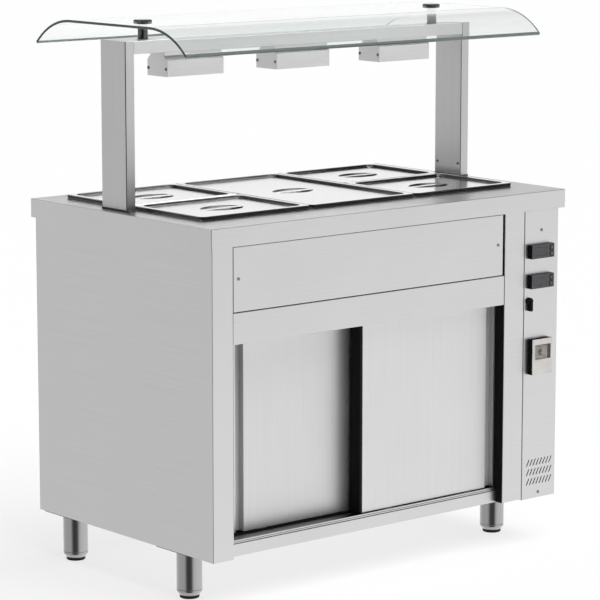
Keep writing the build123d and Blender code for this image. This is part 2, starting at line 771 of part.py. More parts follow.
def build_thermostat(name, centre_z):
    """A digital thermostat on the panel, with a sunken display and two keys."""
    front = body_front - thermostat_depth
    thermostat_left = control_left + thermostat_inset
    display_x = thermostat_left + display_inset + display_width / 2
    key_x = thermostat_left + thermostat_width - key_inset
    with BuildPart() as thermostat:
        block(thermostat_left, thermostat_left + thermostat_width, front, body_front,
              centre_z - thermostat_height / 2, centre_z + thermostat_height / 2)
        with BuildSketch(knob_plane(display_x, front, centre_z)):
            Rectangle(display_width, display_height)
        extrude(amount=-display_depth, mode=Mode.SUBTRACT)
        for step in (-1, 1):
            with BuildSketch(knob_plane(key_x, front, centre_z + step * key_spread / 2)):
                Rectangle(key_size + 2 * key_clearance, key_size + 2 * key_clearance)
            extrude(amount=-key_length - key_travel, mode=Mode.SUBTRACT)
    save(thermostat.part, name)
    for key_name, step in (("down", -1), ("up", 1)):
        with BuildPart() as key:
            with BuildSketch(knob_plane(key_x, front - key_proud, centre_z + step * key_spread / 2)):
                Rectangle(key_size, key_size)
            extrude(amount=-key_length - key_proud + seat_gap)
        save(key.part, f"{name}_{key_name}_key")


build_thermostat("upper_thermostat", skirt_bottom - thermostat_drop)
build_thermostat("lower_thermostat", skirt_bottom - thermostat_drop - thermostat_pitch)

# Main switch: a turning knob with a long grip that points down when it is off
with BuildPart() as switch_knob:
    knob_back = body_front - seat_gap
    with BuildSketch(knob_plane(knob_x, knob_back, knob_z)):
        Circle(knob_diameter / 2)
    extrude(amount=knob_depth)
    with BuildSketch(knob_plane(knob_x, knob_back, knob_z)):
        with Locations((0, -knob_grip_length / 2)):
            Rectangle(knob_grip_width, knob_grip_length)
    extrude(amount=knob_depth + knob_grip_depth)
    with BuildSketch(knob_plane(knob_x, knob_back, knob_z)):
        Circle(knob_shaft / 2)
    extrude(amount=-knob_shaft_length)
save(switch_knob.part, "switch_knob")

# Breaker box: an open frame on the panel, around the circuit breaker
box_front = body_front - breaker_box_depth
breaker_box_left = control_left + breaker_box_inset
breaker_box_bottom = skirt_bottom - breaker_box_drop
box_right = breaker_box_left + breaker_box_width
box_top = breaker_box_bottom + breaker_box_height
breaker_centre_z = breaker_box_bottom + breaker_rise
breaker_x = (breaker_box_left + box_right) / 2
with BuildPart() as breaker_box:
    block(breaker_box_left, box_right, box_front, body_front, breaker_box_bottom, box_top)
    block(breaker_box_left + breaker_box_wall, box_right - breaker_box_wall, box_front, body_front,
          breaker_box_bottom + breaker_box_wall, box_top - breaker_box_wall, Mode.SUBTRACT)
save(breaker_box.part, "breaker_box")

# Circuit breaker, with the slot that its toggle swings in
with BuildPart() as circuit_breaker:
    breaker_front = body_front - breaker_depth
    slot_reach = toggle_width / 2 + toggle_clearance
    block(breaker_x - breaker_width / 2, breaker_x + breaker_width / 2, breaker_front, body_front,
          breaker_centre_z - breaker_height / 2, breaker_centre_z + breaker_height / 2)
    block(breaker_x - slot_reach, breaker_x + slot_reach, breaker_front, body_front,
          breaker_centre_z - toggle_slot / 2, breaker_centre_z + toggle_slot / 2, Mode.SUBTRACT)
save(circuit_breaker.part, "circuit_breaker")

# Breaker toggle: a hub in the slot with a lever that points up when the breaker is on
with BuildPart() as breaker_toggle:
    hub_y = body_front - breaker_depth / 2
    with Locations(Plane(origin=(breaker_x, hub_y, breaker_centre_z), z_dir=(1, 0, 0))):
        Cylinder(toggle_hub - seat_gap, toggle_width)
    lever_plane = Plane(origin=(breaker_x, hub_y, breaker_centre_z), x_dir=(1, 0, 0),
                        z_dir=(0, -1, 0)).rotated((-toggle_rest, 0, 0))
    with BuildSketch(lever_plane):
        Rectangle(toggle_width, toggle_thickness)
    extrude(amount=toggle_reach)
save(breaker_toggle.part, "breaker_toggle")

# Breaker window: the flap over the box, hinged along its top edge
with BuildPart() as breaker_window:
    window_back = box_front - window_gap
    block(breaker_box_left, box_right, window_back - window_thickness, window_back,
          breaker_box_bottom, box_top)
save(breaker_window.part, "breaker_window")

# Cable gland on the back panel
with BuildPart() as cable_gland:
    gland_centre = (body_right - gland_inset, body_back, body_bottom + gland_rise)
    gland_plane = Plane(origin=gland_centre, x_dir=(-1, 0, 0), z_dir=(0, 1, 0))
    with BuildSketch(gland_plane):
        RegularPolygon(gland_diameter / 2, 6)
    extrude(amount=gland_nut)
    with BuildSketch(gland_plane):
        Circle(gland_stem / 2)
    extrude(amount=gland_length)
save(cable_gland.part, "cable_gland")

# Drain: the pipe from the well, and the ball valve under the base
with BuildPart() as drain_valve:
    with Locations((drain_x, drain_y, valve_top)):
        Cylinder(drain_pipe_diameter / 2, well_bottom - valve_top,
                 align=(Align.CENTER, Align.CENTER, Align.MIN))
    with Locations((drain_x, drain_y, valve_top - valve_height)):
        Cylinder(valve_diameter / 2, valve_height, align=(Align.CENTER, Align.CENTER, Align.MIN))
save(drain_valve.part, "drain_valve")

# Drain lever: level when the valve is shut, and down when it is open
with BuildPart() as drain_lever:
    lever_y = drain_y - valve_diameter / 2 - seat_gap
    lever_z = valve_top - valve_height / 2
    with BuildSketch(Plane(origin=(drain_x, lever_y, lever_z), x_dir=(1, 0, 0), z_dir=(0, -1, 0))):
        Circle(lever_stem / 2)
    extrude(amount=lever_stem_length)
    block(drain_x - lever_width / 2, drain_x + lever_length, lever_y - lever_stem_length - lever_thickness,
          lever_y - lever_stem_length, lever_z - lever_width / 2, lever_z + lever_width / 2)
save(drain_lever.part, "drain_lever")


def head(plane):
    """A shallow screw head on a plane, in the open part."""
    with BuildSketch(plane) as outline:
        Circle(screw_head / 2)
    extrude(outline.sketch, amount=screw_head_height)


# Screws: their heads on the fascia, the control panel, the posts and the lamp hoods
with BuildPart() as screws:
    control_centre = (control_left + control_right) / 2
    fascia_screw_z = skirt_bottom - fascia_screw_drop
    for screw_x, screw_z in ((opening_left + fascia_screw_inset, fascia_screw_z),
                             (fascia_right - fascia_screw_inset, fascia_screw_z),
                             (control_centre, skirt_bottom - control_screw_drop),
                             (control_centre, control_bottom + control_screw_rise)):
        head(knob_plane(screw_x, body_front, screw_z))
    for inner_face, inward in ((gantry_left + post_width, 1), (gantry_right - post_width, -1)):
        for side in (-1, 1):
            head(Plane(origin=(inner_face, gantry_centre_y + side * post_screw_spread / 2,
                               worktop_height + post_screw_height), z_dir=(inward, 0, 0)))
    for lamp_x in lamp_centres:
        for side in (-1, 1):
            head(Plane(origin=(lamp_x - lamp_length / 2, gantry_centre_y + side * lamp_screw_spread / 2,
                               lamp_bottom + lamp_screw_height), z_dir=(-1, 0, 0)))
save(screws.part, "screws")
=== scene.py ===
from math import asin, atan2, cos, pi, radians, sin

import bmesh
import bpy
from mathutils import Matrix, Vector


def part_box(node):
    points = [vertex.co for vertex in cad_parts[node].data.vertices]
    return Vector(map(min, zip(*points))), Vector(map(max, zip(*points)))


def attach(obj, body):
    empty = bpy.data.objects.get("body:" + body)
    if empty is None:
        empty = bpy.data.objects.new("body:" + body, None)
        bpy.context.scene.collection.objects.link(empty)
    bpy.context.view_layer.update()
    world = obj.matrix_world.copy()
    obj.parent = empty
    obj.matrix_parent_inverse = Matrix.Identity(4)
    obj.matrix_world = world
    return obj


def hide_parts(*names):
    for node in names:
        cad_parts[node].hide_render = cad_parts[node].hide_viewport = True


bl_info = {
    "name": "Bain-marie counter",
    "version": (1, 0, 0),
    "blender": (4, 5, 0),
    "location": "3D View > Sidebar > Bain-marie",
    "description": "Dresses the packed bain-marie with its steel, pans, lids, lamps, glass and controls",
    "category": "Object",
}

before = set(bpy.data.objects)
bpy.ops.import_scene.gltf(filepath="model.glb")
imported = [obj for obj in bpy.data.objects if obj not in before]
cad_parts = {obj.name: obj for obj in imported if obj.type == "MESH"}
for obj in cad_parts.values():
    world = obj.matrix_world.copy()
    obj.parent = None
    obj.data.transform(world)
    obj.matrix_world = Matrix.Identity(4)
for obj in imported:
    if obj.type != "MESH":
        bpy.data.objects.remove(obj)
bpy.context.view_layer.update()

PANS = ("front_left", "back_left", "middle", "front_right", "back_right")
LEGS = ("front_left", "back_left", "front_right", "back_right")
LAMPS = ("left", "middle", "right")
THERMOSTATS = ("upper", "lower")
GRAINS = {"x": (3.0, 420.0, 420.0), "y": (420.0, 3.0, 420.0), "z": (420.0, 420.0, 3.0)}
finishes = {}


# ---- settings
def colour_setting(name, description, default):
    """A colour."""
    return bpy.props.FloatVectorProperty(name=name, description=description, default=default, size=3,
                                         subtype="COLOR", min=0.0, max=1.0)


def length_setting(name, description, default, low, high):
    """A length in metres, between two limits."""
    return bpy.props.FloatProperty(name=name, description=description, default=default, min=low, max=high,
                                   unit="LENGTH")


def share_setting(name, description, default):
    """A share from 0 to 1."""
    return bpy.props.FloatProperty(name=name, description=description, default=default, min=0.0, max=1.0,
                                   subtype="FACTOR")


def light_setting(name, description, default, high=3.0):
    """A strength of light."""
    return bpy.props.FloatProperty(name=name, description=description, default=default, min=0.0, max=high)


class SteelSettings(bpy.types.PropertyGroup):
    """Brushed stainless steel of the panels, the worktop and the gantry."""

    colour: colour_setting("Steel colour", "Colour of the bare brushed steel", (0.7, 0.7, 0.7))
    roughness: share_setting("Roughness", "How wide the brushed steel spreads its highlights", 0.36)
    fold_radius: length_setting("Fold radius", "Outside radius where a sheet is folded", 0.0018, 0.0002, 0.01)
    cut_edge: length_setting("Cut edge", "Rounding along the cut edges of a sheet", 0.0004, 0.0001, 0.002)


class PanSettings(bpy.types.PropertyGroup):
    """Gastronorm pans and their lids."""

    rim: length_setting("Rim", "Width of the raised rim around a pan", 0.004, 0.001, 0.01)
    corner: length_setting("Corner radius", "Corner radius of a pan's rim and its lid, in plan",
                           0.012, 0.004, 0.04)
    border: length_setting("Lid border", "Width of the flat border around a lid's sunken panel",
                           0.014, 0.005, 0.03)
    panel_drop: length_setting("Panel drop", "How far a lid's panel lies below its border",
                               0.006, 0.003, 0.012)
    skirt: length_setting("Lid skirt", "Height of the skirt around a lid", 0.0054, 0.003, 0.01)
    sheet: length_setting("Lid sheet", "Thickness of a lid's sheet", 0.001, 0.0004, 0.003)
    dish: bpy.props.FloatVectorProperty(
        name="Dish", description="Length and width of the dish under a lid's handle, at its mouth",
        default=(0.112, 0.078), size=2, unit="LENGTH")
    dish_depth: length_setting("Dish depth", "Depth of the dish under a lid's handle", 0.017, 0.005, 0.03)


class GlassSettings(bpy.types.PropertyGroup):
    """The curved glass guard over the gantry."""

    colour: colour_setting("Glass colour", "Tint of the light that passes through the glass",
                           (0.94, 0.968, 0.958))
    edge_colour: colour_setting("Edge colour", "Colour of the ground edges of the glass",
                                (0.045, 0.075, 0.07))
    tip_colour: colour_setting("Tip colour", "Colour of the long ground edge along the front of the glass",
                               (0.14, 0.17, 0.16))
    flat: length_setting("Flat part", "Depth of the flat part between the two bends", 0.31, 0.1, 0.6)
    bend: length_setting("Bend radius", "Outside radius of the two bends", 0.19, 0.05, 0.5)
    reach: length_setting("Bend reach", "How far a bend reaches beyond the flat part", 0.137, 0.02, 0.3)
    thickness: length_setting("Thickness", "Thickness of the glass", 0.006, 0.003, 0.012)


class ControlSettings(bpy.types.PropertyGroup):
    """Thermostats, switch, breaker box and their plastics."""

    housing_colour: colour_setting("Thermostat colour", "Colour of the thermostats' housings",
                                   (0.055, 0.057, 0.06))
    # This black is also painted shade: it darkens the door tracks behind the right door and the two sides of
    # each thermostat.
    black_colour: colour_setting("Black plastic", "Colour of the knob, the tracks and the trims",
                                 (0.008, 0.008, 0.009))
    pale_colour: colour_setting("Pale plastic", "Colour of the breaker and the flap in front of it",
                                (0.62, 0.61, 0.59))


class StageSettings(bpy.types.PropertyGroup):
    """Camera, floor and light."""

    camera_place: bpy.props.FloatVectorProperty(
        name="Camera", description="Where the camera stands",
        default=(-4.3944, -5.2157, 1.7582), size=3, subtype="TRANSLATION", unit="LENGTH")
    camera_down: bpy.props.FloatProperty(
        name="Camera down", description="How far the camera looks down",
        default=radians(9.533), subtype="ANGLE")
    camera_turn: bpy.props.FloatProperty(
        name="Camera turn", description="How far the camera is turned from the back to the right",
        default=radians(40.018), subtype="ANGLE")
    lens: bpy.props.FloatProperty(
        name="Lens", description="Focal length of the camera, on a 36 mm sensor",
        default=169.69, min=10.0, max=500.0, unit="CAMERA")
    bright_side: light_setting("Bright side", "Strength of the studio's light from the right", 1.08)
    dim_side: light_setting("Dim side", "Strength of the studio's light from the left", 0.68)
    dark_ceiling: light_setting("Dark ceiling", "Strength of the studio's light from the ceiling and the "
                                "entrance", 0.1)
    floor_white: share_setting("White floor", "How far the camera sees the floor as plain white, over its "
                               "shadow", 0.75)
    overhead: light_setting("Overhead light", "Strength of the wide soft light overhead", 3.4, 20.0)


# ---- finishes
def new_finish(name):
    """An empty material and its shader, nodes and links."""
    finish = bpy.data.materials.new(name)
    finish.use_nodes = True
    tree = finish.node_tree
    finishes[name] = finish
    return finish, tree.nodes["Principled BSDF"], tree.nodes, tree.links


def object_noise(nodes, links, stretch, scale, detail):
    """Noise over the piece's own place, stretched along its axes."""
    place = nodes.new("ShaderNodeTexCoord")
    mapping = nodes.new("ShaderNodeMapping")
    mapping.inputs["Scale"].default_value = stretch
    noise = nodes.new("ShaderNodeTexNoise")
    noise.inputs["Scale"].default_value = scale
    noise.inputs["Detail"].default_value = detail
    noise.inputs["Roughness"].default_value = 0.6
    links.new(place.outputs["Object"], mapping.inputs["Vector"])
    links.new(mapping.outputs["Vector"], noise.inputs["Vector"])
    return noise.outputs["Fac"]


def spread(nodes, links, value, low, high):
    """Turns noise into a number between two limits."""
    ranged = nodes.new("ShaderNodeMapRange")
    ranged.inputs["From Min"].default_value = 0.3
    ranged.inputs["From Max"].default_value = 0.7
    ranged.inputs["To Min"].default_value = low
    ranged.inputs["To Max"].default_value = high
    links.new(value, ranged.inputs["Value"])
    return ranged.outputs["Result"]


def mixed_colour(nodes, links, value, first, second):
    """A colour between two, chosen by a number."""
    mix = nodes.new("ShaderNodeMix")
    mix.data_type = "RGBA"
    mix.inputs["A"].default_value = (*first, 1.0)
    mix.inputs["B"].default_value = (*second, 1.0)
    links.new(value, mix.inputs["Factor"])
    return mix.outputs["Result"]


def shade(colour, factor):
    """A colour made lighter or darker."""
    return tuple(min(1.0, channel * factor) for channel in colour)


def relief(nodes, links, shader, value, strength, distance):
    """Raises noise into the surface."""
    bump = nodes.new("ShaderNodeBump")
    bump.inputs["Strength"].default_value = strength
    bump.inputs["Distance"].default_value = distance
    links.new(value, bump.inputs["Height"])
    links.new(bump.outputs["Normal"], shader.inputs["Normal"])


def brushed_steel(name, grain, colour, roughness, contrast=0.04, metallic=1.0):
    """Stainless steel, brushed along one axis, with faint smears from handling."""
    shader, nodes, links = new_finish(name)[1:]
    shader.inputs["Metallic"].default_value = metallic
    brushing = object_noise(nodes, links, GRAINS[grain], 1.0, 6.0)
    smear = object_noise(nodes, links, (1.0, 1.0, 1.0), 5.0, 3.0)
    streaks = spread(nodes, links, brushing, 0.0, 1.0)
    tone = mixed_colour(nodes, links, streaks, shade(colour, 1 - contrast), shade(colour, 1 + contrast))
    links.new(tone, shader.inputs["Base Color"])
    both = nodes.new("ShaderNodeMath")
    both.operation = "ADD"
    links.new(spread(nodes, links, brushing, roughness - 0.03, roughness + 0.03), both.inputs[0])
    links.new(spread(nodes, links, smear, -0.015, 0.015), both.inputs[1])
    links.new(both.outputs["Value"], shader.inputs["Roughness"])
    relief(nodes, links, shader, brushing, 0.06, 0.0003)


def moulded_plastic(name, colour, roughness, sheen_noise=300.0, gloss=0.5):
    """Moulded plastic with a fine spark-eroded grain."""
    shader, nodes, links = new_finish(name)[1:]
    shader.inputs["Specular IOR Level"].default_value = gloss
    grain = object_noise(nodes, links, (1.0, 1.0, 1.0), sheen_noise, 3.0)
    cloud = object_noise(nodes, links, (1.0, 1.0, 1.0), 20.0, 2.0)
    tone = mixed_colour(nodes, links, spread(nodes, links, cloud, 0.0, 1.0),
                        shade(colour, 0.9), shade(colour, 1.1))
    links.new(tone, shader.inputs["Base Color"])
    links.new(spread(nodes, links, grain, roughness - 0.05, roughness + 0.07), shader.inputs["Roughness"])
    relief(nodes, links, shader, grain, 0.15, 0.0002)


def clear_glass(name, colour, roughness=0.0, ior=1.5):
    """Clear glass with a tint, and faint streaks from wiping."""
    shader, nodes, links = new_finish(name)[1:]
    shader.inputs["Transmission Weight"].default_value = 1.0
    shader.inputs["IOR"].default_value = ior
    wiping = object_noise(nodes, links, (3.0, 12.0, 12.0), 1.0, 4.0)
    tone = mixed_colour(nodes, links, spread(nodes, links, wiping, 0.0, 1.0), shade(colour, 0.985), colour)
    links.new(tone, shader.inputs["Base Color"])
    links.new(spread(nodes, links, wiping, roughness, roughness + 0.02), shader.inputs["Roughness"])


def ground_edge(name, colour):
    """The ground edge of a glass pane, dark from the light that it swallows."""
    shader, nodes, links = new_finish(name)[1:]
    grinding = object_noise(nodes, links, (60.0, 60.0, 60.0), 8.0, 4.0)
    tone = mixed_colour(nodes, links, spread(nodes, links, grinding, 0.0, 1.0),
                        shade(colour, 0.8), shade(colour, 1.3))
    links.new(tone, shader.inputs["Base Color"])
    links.new(spread(nodes, links, grinding, 0.12, 0.25), shader.inputs["Roughness"])


def build_finishes(scene):
    """Every finish of the object, from the settings.

    The press and rim finishes are painted reflection and shade: steel made dark on the walls of a lid's folds
    and dish, on a lid's skirt and on a pan's rim, for the dark of the room that these folds mirror and the
    shade that they lie in.
    """
    steel = scene.bain_marie_steel
    controls = scene.bain_marie_controls
    glass = scene.bain_marie_glass
    base, rough = tuple(steel.colour), steel.roughness
    # Painted shade: the steel brushed along z serves only the posts, and is made darker than the rest for the
    # dimmer light that falls on them.
    for grain, tone in (("x", 1.0), ("y", 1.0), ("z", 0.86)):
        brushed_steel(f"brushed_steel_{grain}", grain, shade(base, tone), rough)
    brushed_steel("door_steel", "z", shade(base, 1.15), 0.45, metallic=0.85)
    # Painted shade: the pull channel's steel is darker and less metallic than the door's, for the shade
    # inside the channel.
    brushed_steel("channel_painted_shade", "z", shade(base, 0.85), 0.5, metallic=0.4)
    for name, grain, tone, roughness, contrast in (
            ("lid_steel", "x", 0.97, 0.16, 0.03), ("pan_steel", "x", 1.1, 0.18, 0.03),
            # Painted reflection and shade: the rim and press finishes are the steel made dark, for the rims
            # and skirts of pans and lids and the walls of the lids' folds.
            ("rim_painted_shade", "x", 0.18, 0.3, 0.03), ("press_painted_reflection", "x", 0.16, 0.3, 0.03),
            # Painted shade: the plate finish darkens the plates on top of the legs, under the cabinet.
            ("leg_steel", "z", 0.6, 0.24, 0.05), ("plate_painted_shade", "x", 0.2, 0.5, 0.04),
            # Painted shade: the two notch finishes darken the notch down each post's front corner, the left
            # one much darker than the right for the light that falls on each.
            ("inner_steel", "x", 0.8, 0.42, 0.06), ("left_groove_painted_shade", "z", 0.12, 0.5, 0.08),
            # Painted shade: the side-screw finish darkens the heads that face sideways, on the posts and the
            # lamp hoods.
            ("right_groove_painted_shade", "z", 0.6, 0.4, 0.08), ("side_screw_painted_shade", "x", 0.3, 0.3, 0.05),
            ("clamp_steel", "z", 0.16, 0.18, 0.05)):
        brushed_steel(name, grain, shade(base, tone), roughness, contrast)
    brushed_steel("element_sheath", "x", (0.2, 0.19, 0.18), 0.45, 0.2)
    brushed_steel("valve_brass", "z", (0.55, 0.43, 0.22), 0.35, 0.08)
    moulded_plastic("black_plastic", tuple(controls.black_colour), 0.42)
    # Painted shade as well as black plastic: this matt black is the knob's own colour, and it also stands as
    # painted shade on the door tracks behind the right door and on the thermostats' sides.
    moulded_plastic("matt_black_and_painted_shade", tuple(controls.black_colour), 0.65, gloss=0.15)
    moulded_plastic("rubber", (0.012, 0.012, 0.012), 0.75, 500.0)
    moulded_plastic("gasket_rubber", (0.1, 0.1, 0.1), 0.7, 500.0)
    moulded_plastic("housing_plastic", tuple(controls.housing_colour), 0.38)
    moulded_plastic("key_plastic", shade(controls.housing_colour, 0.75), 0.45)
    moulded_plastic("pale_plastic", tuple(controls.pale_colour), 0.4)
    moulded_plastic("mark_paint", (0.2, 0.205, 0.21), 0.5)
    moulded_plastic("display_glass", (0.045, 0.046, 0.05), 0.15)
    clear_glass("guard_glass", tuple(glass.colour))
    ground_edge("guard_edge", tuple(glass.edge_colour))
    ground_edge("guard_front_tip", tuple(glass.tip_colour))
    ground_edge("guard_back_tip", shade(glass.tip_colour, 2.6))
    clear_glass("window_glass", (0.8, 0.76, 0.72), 0.05)
    clear_glass("lamp_quartz", (0.97, 0.95, 0.9), 0.02, 1.46)


# ---- modelling
def corners(node):
    """Lowest and highest corner of a CAD node."""
    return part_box(node)


def new_piece(name, bm, body, node_names, finish_names, sharp=35.0):
    """Turns a finished bmesh into a piece that rides on its body and stands for its CAD nodes."""
    mesh = bpy.data.meshes.new(name)
    bm.to_mesh(mesh)
    bm.free()
    for finish_name in finish_names:
        mesh.materials.append(finishes[finish_name])
    mesh.shade_smooth()
    mesh.set_sharp_from_angle(angle=radians(sharp))
    piece = bpy.data.objects.new(name, mesh)
    bpy.context.scene.collection.objects.link(piece)
    weights = piece.modifiers.new("face_weights", "WEIGHTED_NORMAL")
    weights.weight = 80
    weights.keep_sharp = True
    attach(piece, body)
    if node_names:
        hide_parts(*node_names)
    return piece


def merged_copy(node):
    """A copy of a CAD node's mesh with its loose triangles merged into clean faces."""
    bm = bmesh.new()
    bm.from_mesh(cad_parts[node].data)
    bmesh.ops.remove_doubles(bm, verts=bm.verts, dist=2e-5)
    bmesh.ops.dissolve_limit(bm, angle_limit=radians(0.5), verts=bm.verts, edges=bm.edges)
    return bm


def is_wide(face, width):
    """Whether a face is wider than the edge of a sheet."""
    longest = max(edge.calc_length() for edge in face.edges)
    return face.calc_area() > width * longest


def bevel(bm, edges, offset, segments=2, clamp=False):
    """Rounds edges."""
    bmesh.ops.bevel(bm, geom=edges, offset=offset, offset_type="OFFSET", segments=segments, profile=0.5,
                    affect="EDGES", material=-1, clamp_overlap=clamp)


def sharp_edges(bm, degrees):
    """Closed edges that turn by more than an angle."""
    return [e for e in bm.edges if len(e.link_faces) == 2 and e.calc_face_angle() > radians(degrees)]


def paint(bm, choose):
    """Gives each face one of the piece's finishes, by a rule from the face and its middle."""
    for face in bm.faces:
        face.material_index = int(choose(face, face.calc_center_median()))


def soften(bm, fold, edge):
    """Rounds the folds between wide faces, and then every other sharp edge more tightly."""
    folds = [e for e in sharp_edges(bm, 50)
             if e.is_convex and all(is_wide(face, 3.2 * fold) for face in e.link_faces)]
    if folds:
        bevel(bm, folds, fold, 3, True)
    sharp = sharp_edges(bm, 40)
    if sharp:
        bevel(bm, sharp, edge, 2, True)


def folded_piece(context, node, body, finish_names, fold=None, edge=None, choose=None):
    """A CAD node made again with its folds and edges rounded."""
    steel = context.scene.bain_marie_steel
    bm = merged_copy(node)
    soften(bm, steel.fold_radius if fold is None else fold, steel.cut_edge if edge is None else edge)
    if choose:
        paint(bm, choose)
    new_piece(f"{node}_finished", bm, body, [node], finish_names)


def rounded_outline(centre, width, length, corner, steps=8, spans=8):
    """Points of a rounded rectangle in plan, from its first corner round to its last side."""
    half = Vector((width / 2 - corner, length / 2 - corner))
    signs = ((1, 1), (-1, 1), (-1, -1), (1, -1))
    rounds = []
    for turn, (sign_x, sign_y) in enumerate(signs):
        middle = Vector((centre[0] + sign_x * half.x, centre[1] + sign_y * half.y))
        angles = [radians(90 * turn + 90 * step / steps) for step in range(steps + 1)]
        rounds.append([middle + corner * Vector((cos(angle), sin(angle))) for angle in angles])
    points = []
    for turn, arc in enumerate(rounds):
        onward = rounds[(turn + 1) % 4][0]
        points += arc
        points += [arc[-1].lerp(onward, span / spans) for span in range(1, spans)]
    return points


def past_side(point, centre, size):
    """How far a point lies beyond the nearest side of a rectangle in plan."""
    return max(abs(point.x - centre.x) - size[0] / 2, abs(point.y - centre.y) - size[1] / 2)


def oval_outline(centre, width, length, guide, guide_size):
    """Points of an oval, each in the direction of the matching point of a guide outline."""
    points = []
    for point in guide:
        angle = atan2((point.y - centre[1]) / guide_size[1], (point.x - centre[0]) / guide_size[0])
        points.append(Vector((centre[0] + width / 2 * cos(angle), centre[1] + length / 2 * sin(angle))))
    return points


def pressed_shape(rings, close=False):
    """A shape pressed from a flat start, each ring an outline and its height."""
    bm = bmesh.new()
    order = bm.verts.layers.int.new("order")
    first, height = rings[0]
    made = bmesh.ops.create_circle(bm, cap_ends=True, segments=len(first), radius=1.0)
    for step, vert in enumerate(made["verts"]):
        vert[order] = step
        vert.co = (*first[step], height)
    ring = [e for e in bm.edges if e.is_boundary]
    for points, height in rings[1:]:
        grown = bmesh.ops.extrude_edge_only(bm, edges=ring)["geom"]
        for vert in (item for item in grown if isinstance(item, bmesh.types.BMVert)):
            vert.co = (*points[vert[order]], height)
        ring = [item for item in grown if isinstance(item, bmesh.types.BMEdge) and item.is_boundary]
    if close:
        bmesh.ops.edgeloop_fill(bm, edges=ring)
        bmesh.ops.recalc_face_normals(bm, faces=bm.faces)
    bm.normal_update()
    return bm


def turned_shape(profile, segments=48):
    """A closed shape turned about Z from a profile of (radius, height), which starts and ends on the axis."""
    bm = bmesh.new()
    verts = [bm.verts.new((radius, 0.0, height)) for radius, height in profile]
    edges = [bm.edges.new(pair) for pair in zip(verts, verts[1:])]
    bmesh.ops.spin(bm, geom=verts + edges, cent=(0, 0, 0), axis=(0, 0, 1), dvec=(0, 0, 0),
                   angle=2 * pi, steps=segments, use_merge=True, use_duplicate=False)
    bmesh.ops.remove_doubles(bm, verts=bm.verts, dist=1e-7)
    bmesh.ops.recalc_face_normals(bm, faces=bm.faces)
    return bm


def moved_into(target, source, matrix, finish_index=0):
    """Adds one bmesh to another at a place, in one of the target's finishes."""
    bmesh.ops.transform(source, matrix=matrix, verts=source.verts)
    for face in source.faces:
        face.material_index = finish_index
    mesh = bpy.data.meshes.new("passing")
    source.to_mesh(mesh)
    source.free()
    target.from_mesh(mesh)
    bpy.data.meshes.remove(mesh)


def plain_block(low, high):
    """A block between two corners."""
    bm = bmesh.new()
    bmesh.ops.create_cube(bm, size=1.0)
    low, high = Vector(low), Vector(high)
    bmesh.ops.scale(bm, vec=high - low, verts=bm.verts)
    bmesh.ops.translate(bm, vec=(low + high) / 2, verts=bm.verts)
    return bm


def soft_block(low, high, edge, segments=2):
    """A block between two corners with rounded edges."""
    bm = plain_block(low, high)
    bevel(bm, bm.edges[:], edge, segments)
    return bm


# ---- operators
class BAIN_MARIE_OT_cabinet(bpy.types.Operator):
    """Fold the panels, stiles and rails of the cabinet"""

    bl_idname = "bain_marie.cabinet"
    bl_label = "Cabinet panels"

    def execute(self, context):
        for node, finish in (("left_side_panel", "brushed_steel_y"), ("right_side_panel", "brushed_steel_y"),
                             ("back_panel", "brushed_steel_x"), ("base_panel", "brushed_steel_x"),
                             ("bottom_rail", "brushed_steel_x"), ("upper_rail", "brushed_steel_x"),
                             ("fascia_panel", "brushed_steel_x"), ("right_stile", "brushed_steel_x"),
                             ("control_panel", "brushed_steel_x")):
            folded_piece(context, node, "cabinet", [finish])
        return {"FINISHED"}


class BAIN_MARIE_OT_worktop(bpy.types.Operator):
    """Press the worktop with its deep folded edge"""

    bl_idname = "bain_marie.worktop"
    bl_label = "Worktop"

    def execute(self, context):
        folded_piece(context, "worktop", "cabinet", ["brushed_steel_x"], 0.0025)
        return {"FINISHED"}


class BAIN_MARIE_OT_cupboard(bpy.types.Operator):
    """Finish the inside of the hot cupboard and its door tracks"""

    bl_idname = "bain_marie.cupboard"
    bl_label = "Hot cupboard"

    def execute(self, context):
        folded_piece(context, "partition_panel", "cabinet", ["inner_steel"])
        folded_piece(context, "cupboard_liner", "cabinet", ["inner_steel"])
        # Painted shade: the parts of the door tracks behind the right door get the black finish, for the
        # shade under and between the doors.
        behind_right_door = corners("right_door")[1].y - 0.002
        folded_piece(context, "door_tracks", "cabinet", ["brushed_steel_x", "matt_black_and_painted_shade"],
                     choose=lambda face, middle: middle.y > behind_right_door)
        folded_piece(context, "jamb_trim", "cabinet", ["matt_black_and_painted_shade"])
        return {"FINISHED"}


class BAIN_MARIE_OT_doors(bpy.types.Operator):
    """Fold the two sliding doors and fit their trims"""

    bl_idname = "bain_marie.doors"
    bl_label = "Sliding doors"

    def execute(self, context):
        for side in ("left", "right"):
            door = f"{side}_door"
            low, high = corners(door)

            # Painted shade: the faces inside the pull channel near each outer edge get the darker channel
            # finish.
            def in_channel(face, middle, low=low, high=high):
                to_side = min(middle.x - low.x, high.x - middle.x)
                return 0.003 < to_side < 0.029 and low.y + 0.001 < middle.y < low.y + 0.0145

            folded_piece(context, door, door, ["door_steel", "channel_painted_shade"], 0.0015,
                         choose=in_channel)
            folded_piece(context, f"{door}_trim", door, ["matt_black_and_painted_shade"], 0.0015)
        return {"FINISHED"}


class BAIN_MARIE_OT_well(bpy.types.Operator):
    """Finish the water tank, the bars between the pans and the heating element"""

    bl_idname = "bain_marie.well"
    bl_label = "Heated well"

    def execute(self, context):
        folded_piece(context, "well_tank", "cabinet", ["inner_steel"])
        folded_piece(context, "cross_bars", "cabinet", ["brushed_steel_y"], 0.0006)
        folded_piece(context, "heating_element", "cabinet", ["element_sheath"])
        return {"FINISHED"}


